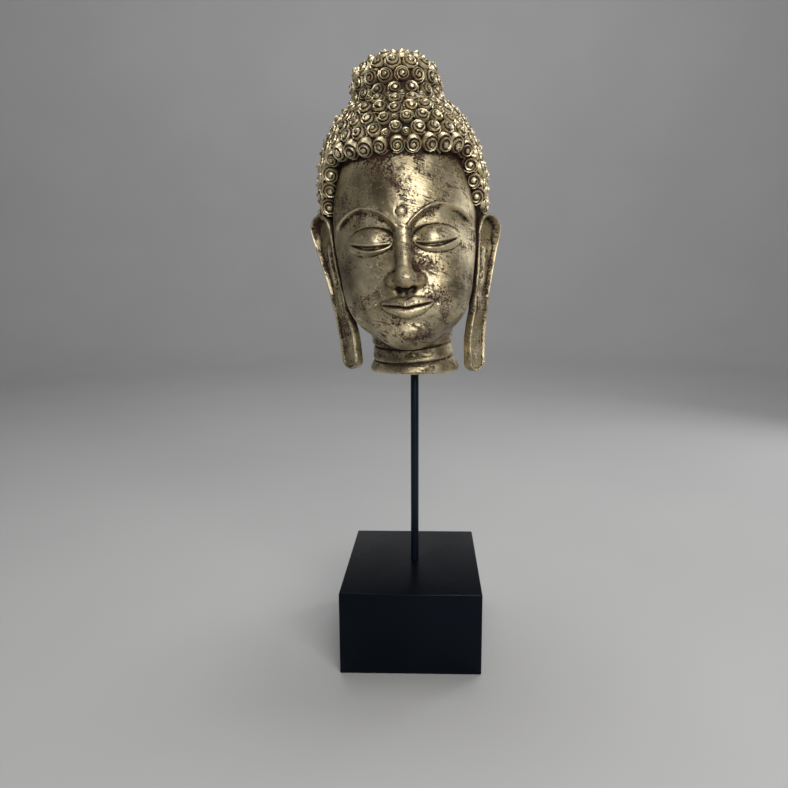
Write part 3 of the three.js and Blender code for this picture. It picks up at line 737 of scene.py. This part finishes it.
class Board:
    """Short ways to add nodes to one material."""

    def __init__(self, nodes, links):
        self.nodes, self.links = nodes, links
        self.place = nodes.new("ShaderNodeTexCoord").outputs["Object"]

    def put(self, socket, value):
        if isinstance(value, bpy.types.NodeSocket):
            self.links.new(value, socket)
        else:
            socket.default_value = value

    def attribute(self, name):
        node = self.nodes.new("ShaderNodeAttribute")
        node.attribute_name = name
        return node.outputs["Fac"]

    def strokes(self, size, turn=(0, 0, 0)):
        """Coordinates in which a noise of scale 1 makes marks of this size in metres, turned first."""
        node = self.nodes.new("ShaderNodeMapping")
        node.vector_type = "TEXTURE"
        self.links.new(self.place, node.inputs["Vector"])
        node.inputs["Scale"].default_value = size
        node.inputs["Rotation"].default_value = turn
        return node.outputs[0]

    def noise(self, scale, detail=4, rough=0.55, where=None, twist=0.0):
        node = self.nodes.new("ShaderNodeTexNoise")
        self.links.new(where or self.place, node.inputs["Vector"])
        node.inputs["Scale"].default_value = scale
        node.inputs["Detail"].default_value = detail
        node.inputs["Roughness"].default_value = rough
        node.inputs["Distortion"].default_value = twist
        return node.outputs["Fac"]

    def math(self, operation, a, b=0.0):
        node = self.nodes.new("ShaderNodeMath")
        node.operation = operation
        self.put(node.inputs[0], a)
        self.put(node.inputs[1], b)
        return node.outputs[0]

    def ramp(self, value, low, high, to_low=0.0, to_high=1.0):
        node = self.nodes.new("ShaderNodeMapRange")
        node.interpolation_type = "SMOOTHSTEP"
        self.put(node.inputs["Value"], value)
        node.inputs["From Min"].default_value = low
        node.inputs["From Max"].default_value = high
        node.inputs["To Min"].default_value = to_low
        node.inputs["To Max"].default_value = to_high
        return node.outputs[0]

    def blend(self, share, a, b):
        node = self.nodes.new("ShaderNodeMix")
        node.data_type = "RGBA"
        self.put(node.inputs[0], share)
        self.put(node.inputs[6], a)
        self.put(node.inputs[7], b)
        return node.outputs[2]

    def bump(self, height, strength, depth):
        node = self.nodes.new("ShaderNodeBump")
        node.inputs["Strength"].default_value = strength
        node.inputs["Distance"].default_value = depth
        self.links.new(height, node.inputs["Height"])
        return node.outputs[0]


PALE_GOLD = (0.80, 0.69, 0.46, 1)
OLD_GOLD = (0.43, 0.35, 0.21, 1)
OLIVE_BRONZE = (0.12, 0.094, 0.056, 1)
RED_GROUND = (0.040, 0.017, 0.012, 1)
DARK_GROUND = (0.011, 0.0075, 0.006, 1)
PAINT_DEEP = (0.0005, 0.0012, 0.0030, 1)
PAINT_SOFT = (0.0010, 0.0019, 0.0042, 1)
PAINT_RUBBED = (0.022, 0.022, 0.024, 1)
COAT_DEEP = (0.0025, 0.005, 0.009, 1)
COAT_SOFT = (0.006, 0.009, 0.014, 1)
BACKDROP_GREY = (0.50, 0.50, 0.50, 1)
BACKDROP_PALE = (0.52, 0.52, 0.518, 1)


def antique_gold():
    """Gold leaf over a dark red-brown ground, rubbed bright on the high places; in the recesses an olive film
    and the dark ground are patina and painted shade.
    """
    made, nodes, links, shader = new_material("antique_gold")
    board = Board(nodes, links)
    hidden = board.attribute("hidden")
    edge = board.attribute("edge")
    near_hair = board.attribute("ground")
    cloud = board.noise(38, 5, 0.6)
    patina = board.noise(21, 4, 0.6, twist=0.5)
    specks = board.noise(620, 3, 0.65)
    clusters = board.noise(60, 3, 0.5, twist=0.6)
    brushed = board.noise(1, 4, 0.6, board.strokes((0.012, 0.012, 0.0017), (0, 0.32, 0)), 0.8)
    combed = board.noise(1, 4, 0.6, board.strokes((0.0020, 0.0020, 0.011), (0, -0.28, 0.5)), 0.8)
    strokes = board.math("ADD", board.math("MULTIPLY", brushed, 0.6), board.math("MULTIPLY", combed, 0.4))
    fine = board.noise(1, 3, 0.6, board.strokes((0.0045, 0.0045, 0.0007), (0.2, 0.45, 0)), 0.6)

    tone = board.math("ADD", board.math("MULTIPLY", cloud, 0.6), board.math("MULTIPLY", strokes, 0.4))
    leaf = board.blend(board.ramp(tone, 0.42, 0.60), OLD_GOLD, PALE_GOLD)
    leaf = board.blend(board.ramp(patina, 0.46, 0.66, 0.0, 0.75), leaf, OLIVE_BRONZE)
    # Olive film where the surface is hidden: patina in the hollows and painted shade in every occluded place.
    patina_and_shade = board.ramp(board.math("ADD", hidden, board.math("MULTIPLY", cloud, 0.25)), 0.20, 0.48, 0.0, 0.8)
    leaf = board.blend(patina_and_shade, leaf, OLIVE_BRONZE)

    # Dark ground where the surface is deeply hidden: painted shade, with some patina.
    recess = board.ramp(board.math("ADD", hidden, board.math("MULTIPLY", cloud, 0.22)), 0.38, 0.58)
    pits = board.math("ADD", specks, board.math("MULTIPLY", clusters, 0.7))
    pits = board.math("ADD", pits, board.math("MULTIPLY", hidden, 0.25))
    pits = board.math("ADD", pits, board.math("MULTIPLY", near_hair, 0.22))
    pits = board.math("SUBTRACT", pits, board.math("MULTIPLY", edge, 0.8))
    pits = board.ramp(pits, 0.92, 1.02)
    rubbed = board.math("ADD", strokes, board.math("MULTIPLY", clusters, 0.4))
    rubbed = board.ramp(rubbed, 0.71, 0.81, 0.0, 0.85)
    grooves = board.ramp(edge, -0.30, -0.06, 1.0, 0.0)
    between_curls = board.ramp(near_hair, 0.6, 1.0)
    scratches = board.math("ADD", fine, board.math("MULTIPLY", clusters, 0.25))
    scratches = board.ramp(scratches, 0.74, 0.84, 0.0, 0.75)
    # Where the leaf gives way to the ground: rubbed places, scratches and pits are real wear, the recess part
    # is painted shade, and curl grooves darken where the surface is hollow.
    worn_and_shaded = board.math("MAXIMUM", recess, scratches)
    worn_and_shaded = board.math("MAXIMUM", worn_and_shaded, board.math("MAXIMUM", pits, rubbed))
    worn_and_shaded = board.math("MAXIMUM", worn_and_shaded, board.math("MAXIMUM", grooves, between_curls))
    bright = board.math("MULTIPLY", board.ramp(edge, 0.06, 0.22), board.ramp(near_hair, 0.6, 1.0, 1.0, 0.0))
    worn_and_shaded = board.math("MULTIPLY", worn_and_shaded, board.math("SUBTRACT", 1.0, board.math("MULTIPLY", bright, 0.8)))

    ground = board.blend(board.ramp(clusters, 0.42, 0.62), DARK_GROUND, RED_GROUND)
    leaf = board.blend(board.math("MULTIPLY", bright, 0.7), leaf, PALE_GOLD)
    # The dark ground shows where the leaf is worn, and stands for painted shade in the recesses.
    links.new(board.blend(worn_and_shaded, leaf, ground), shader.inputs["Base Color"])
    links.new(board.ramp(worn_and_shaded, 0.0, 1.0, 0.95, 0.1), shader.inputs["Metallic"])
    rough = board.math("ADD", board.ramp(cloud, 0.3, 0.7, 0.32, 0.44), board.math("MULTIPLY", worn_and_shaded, 0.25))
    links.new(rough, shader.inputs["Roughness"])
    shader.inputs["Specular IOR Level"].default_value = 0.2
    height = board.math("ADD", board.math("MULTIPLY", strokes, 0.6), board.math("MULTIPLY", specks, 0.3))
    height = board.math("ADD", height, board.math("MULTIPLY", fine, 0.35))
    height = board.math("SUBTRACT", height, board.math("MULTIPLY", worn_and_shaded, 0.6))
    links.new(board.bump(height, 0.8, 0.0007), shader.inputs["Normal"])
    return made


def black_paint():
    """Satin black paint on wood: faint brush marks and rubbed edges."""
    made, nodes, links, shader = new_material("black_paint")
    board = Board(nodes, links)
    strokes = board.noise(1, 4, 0.6, board.strokes((0.045, 0.0011, 0.0011)))
    cloud = board.noise(14, 3, 0.5)
    edge = board.ramp(board.attribute("edge"), 0.1, 0.45, 0.0, 0.6)
    tint = board.blend(board.ramp(cloud, 0.35, 0.65), PAINT_DEEP, PAINT_SOFT)
    links.new(board.blend(edge, tint, PAINT_RUBBED), shader.inputs["Base Color"])
    links.new(board.ramp(cloud, 0.3, 0.7, 0.24, 0.34), shader.inputs["Roughness"])
    shader.inputs["Specular IOR Level"].default_value = 0.14
    shader.inputs["Specular Tint"].default_value = (0.66, 0.82, 1.0, 1)
    links.new(board.bump(strokes, 0.12, 0.0003), shader.inputs["Normal"])
    return made


def black_steel():
    """Black coated steel, drawn along its length."""
    made, nodes, links, shader = new_material("black_steel")
    board = Board(nodes, links)
    drawn = board.noise(1, 3, 0.6, board.strokes((0.0011, 0.0011, 0.05)))
    tint = board.blend(board.ramp(drawn, 0.35, 0.65), COAT_DEEP, COAT_SOFT)
    links.new(tint, shader.inputs["Base Color"])
    links.new(board.ramp(drawn, 0.3, 0.7, 0.28, 0.40), shader.inputs["Roughness"])
    shader.inputs["Specular IOR Level"].default_value = 0.25
    shader.inputs["Specular Tint"].default_value = (0.55, 0.78, 1.0, 1)
    links.new(board.bump(drawn, 0.10, 0.0002), shader.inputs["Normal"])
    return made


def pale_backdrop():
    """Plain grey, a little uneven."""
    made, nodes, links, shader = new_material("pale_backdrop")
    board = Board(nodes, links)
    mottle = board.noise(3, 3, 0.5)
    tint = board.blend(board.ramp(mottle, 0.3, 0.7), BACKDROP_GREY, BACKDROP_PALE)
    links.new(tint, shader.inputs["Base Color"])
    shader.inputs["Roughness"].default_value = 0.7
    return made


# The three pieces

def make_head():
    head = to_object("head_carved", skin_mesh(), HEAD_PLACE)
    combine(head, to_object("hair_cap", cap_mesh(), HEAD_PLACE), "UNION")
    combine(head, to_object("mark", mark_mesh(), HEAD_PLACE), "UNION")
    for side in (-1, 1):
        combine(head, to_object("ear", ear_mesh(side), HEAD_PLACE), "UNION")
    for curls in curls_meshes():
        combine(head, to_object("curls", curls, HEAD_PLACE), "UNION")
    combine(head, to_object("socket", socket_mesh((HEAD_LEVEL, ROD_HIGH + FIT_GAP))), "DIFFERENCE")
    occlusion_and_edges(head)
    hair_ground(head)
    shade_smooth(head, HEAD_CREASE)
    head.data.materials.clear()
    head.data.materials.append(antique_gold())
    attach(head, "root")
    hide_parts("head")


def make_block():
    bm = bmesh.new()
    bmesh.ops.create_cube(bm, size=1)
    bmesh.ops.scale(bm, vec=(BLOCK_WIDTH, BLOCK_DEPTH, BLOCK_HEIGHT), verts=bm.verts)
    bmesh.ops.translate(bm, vec=(0, 0, BLOCK_HEIGHT / 2), verts=bm.verts)
    bmesh.ops.bevel(bm, geom=bm.edges[:], offset=BLOCK_EDGE, offset_type="OFFSET", affect="EDGES", segments=3,
                    profile=0.5, material=-1)
    block = to_object("block_painted", bm)
    combine(block, to_object("socket", socket_mesh((BLOCK_HEIGHT, ROD_LOW - FIT_GAP))), "DIFFERENCE")
    occlusion_and_edges(block)
    shade_smooth(block, STAND_CREASE)
    block.data.materials.clear()
    block.data.materials.append(black_paint())
    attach(block, "root")
    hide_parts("block")


def make_rod():
    bm = bmesh.new()
    length = ROD_HIGH - ROD_LOW
    bmesh.ops.create_cone(bm, cap_ends=True, segments=ROD_SIDES, radius1=ROD_RADIUS, radius2=ROD_RADIUS,
                          depth=length)
    rims = [e for e in bm.edges if abs(e.verts[0].co.z - e.verts[1].co.z) < 1e-6]
    bmesh.ops.bevel(bm, geom=rims, offset=ROD_EDGE, offset_type="OFFSET", affect="EDGES", segments=2,
                    profile=0.5, material=-1)
    bmesh.ops.translate(bm, vec=(ROD_X, 0, (ROD_LOW + ROD_HIGH) / 2), verts=bm.verts)
    rod = to_object("rod_coated", bm)
    shade_smooth(rod, STAND_CREASE)
    rod.data.materials.append(black_steel())
    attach(rod, "root")
    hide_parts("rod")


# Studio

def make_backdrop():
    """A round pale floor that curves up into a plain wall all round."""
    bm = bmesh.new()
    bmesh.ops.create_grid(bm, x_segments=1, y_segments=30, size=1)
    bmesh.ops.delete(bm, geom=[v for v in bm.verts if v.co.x > 0], context="VERTS")
    for vert in bm.verts:
        run = (vert.co.y + 1) / 2 * FLOOR_RUN
        bend = min(max((run - FLOOR_RADIUS) / FLOOR_BEND, 0), math.pi / 2)
        past = max(run - FLOOR_RADIUS - FLOOR_BEND * math.pi / 2, 0)
        out = min(run, FLOOR_RADIUS) + FLOOR_BEND * math.sin(bend)
        vert.co = (out, 0, FLOOR_BEND * (1 - math.cos(bend)) + past)
    bmesh.ops.spin(bm, geom=bm.verts[:] + bm.edges[:], cent=(0, 0, 0), axis=(0, 0, 1), angle=2 * math.pi,
                   steps=64, use_merge=True)
    tidy(bm)
    for face in bm.faces:
        face.smooth = True
    mesh = bpy.data.meshes.new("backdrop")
    bm.to_mesh(mesh)
    bm.free()
    made = bpy.data.objects.new("backdrop", mesh)
    mesh.materials.append(pale_backdrop())
    bpy.context.scene.collection.objects.link(made)


def soft_light(name, place, aim, size, power, tint=(1, 1, 1)):
    light = bpy.data.lights.new(name, "AREA")
    light.shape = "RECTANGLE"
    light.size, light.size_y = size
    light.energy = power
    light.color = tint
    made = bpy.data.objects.new(name, light)
    made.location = place
    made.rotation_euler = (Vector(aim) - Vector(place)).to_track_quat("-Z", "Y").to_euler()
    bpy.context.scene.collection.objects.link(made)


def make_studio():
    make_backdrop()
    world = bpy.data.worlds.new("studio")
    bpy.context.scene.world = world
    world.use_nodes = True
    world.node_tree.nodes["Background"].inputs["Color"].default_value = (0.80, 0.83, 0.88, 1)
    world.node_tree.nodes["Background"].inputs["Strength"].default_value = 0.09
    middle = (0, 0, 0.30)
    soft_light("key", (0.30, -0.92, 0.74), middle, (0.8, 0.65), 6.9, (1.0, 0.98, 0.95))
    soft_light("front", (0.75, -1.85, 0.95), (0, 0, 0.22), (1.6, 0.6), 11)
    soft_light("fill", (-0.95, -0.45, 0.55), middle, (0.3, 0.7), 0.25, (0.93, 0.96, 1.0))
    soft_light("top", (0.0, 0.30, 1.3), middle, (0.8, 0.5), 7)
    soft_light("rim", (0.8, 0.6, 0.6), middle, (0.3, 0.8), 2)
    soft_light("wall", (0, 1.1, 1.9), (0, 2.9, 0.8), (1.6, 0.4), 14)
    bpy.context.scene.view_settings.view_transform = "Standard"


def make_camera():
    lens = bpy.data.cameras.new("photo_view")
    lens.lens = LENS
    lens.sensor_width = SENSOR
    lens.shift_x = SIDE_SHIFT
    lens.clip_start = 0.01
    made = bpy.data.objects.new("photo_view", lens)
    turn = Matrix.Rotation(CAMERA_TURN, 4, "Z") @ Matrix.Rotation(CAMERA_TILT, 4, "X")
    made.matrix_world = Matrix.Translation(CAMERA_PLACE) @ turn
    bpy.context.scene.collection.objects.link(made)
    bpy.context.scene.camera = made


make_camera()
make_studio()
make_block()
make_rod()
make_head()
